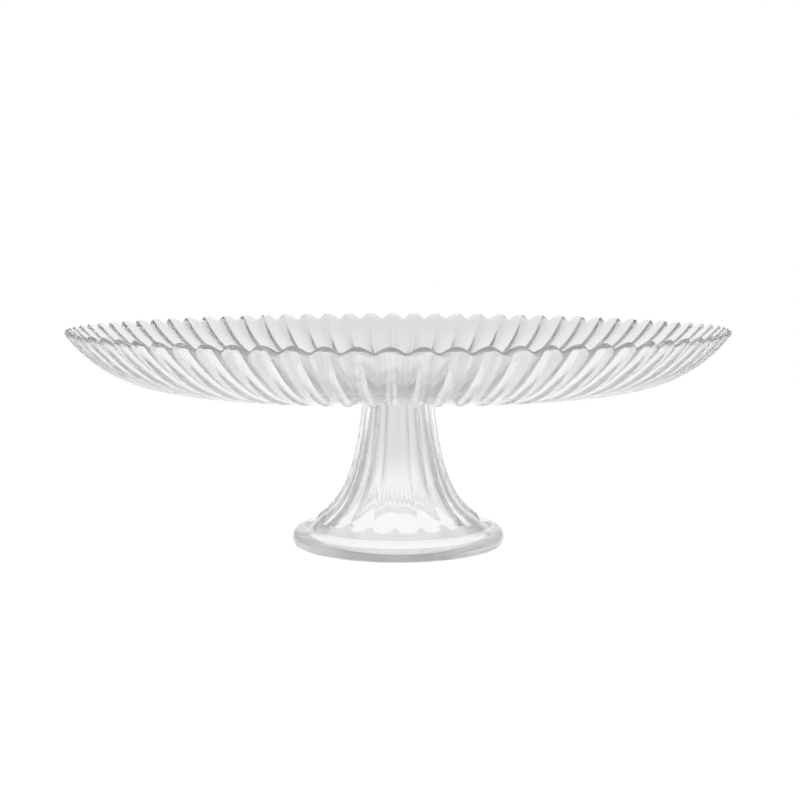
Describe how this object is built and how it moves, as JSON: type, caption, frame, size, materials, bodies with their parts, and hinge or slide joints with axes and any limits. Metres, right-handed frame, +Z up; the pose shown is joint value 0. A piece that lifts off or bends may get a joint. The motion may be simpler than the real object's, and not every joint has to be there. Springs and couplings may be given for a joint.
{
  "type": "cake stand",
  "caption": "Footed cake stand in clear pressed glass: shallow fluted dish with a scalloped rim on a hollow fluted trumpet pedestal.",
  "frame": {"origin": "centre of the foot's rest face, on the table, on the axis of the stand", "axes": "+Z up along the axis of the stand, +X through the tip of a rim lobe, -Y towards the viewer"},
  "size_m": [0.3047, 0.3048, 0.1021],
  "materials": {
    "clear_glass_dish": "fire polished",
    "clear_glass_pedestal": "fire polished",
    "clear_adhesive": "clear cured resin"
  },
  "bodies": {
    "root": {"fluted_dish": "clear_glass_dish", "fluted_pedestal": "clear_glass_pedestal", "adhesive_bond": "clear_adhesive"}
  },
  "joints": []
}
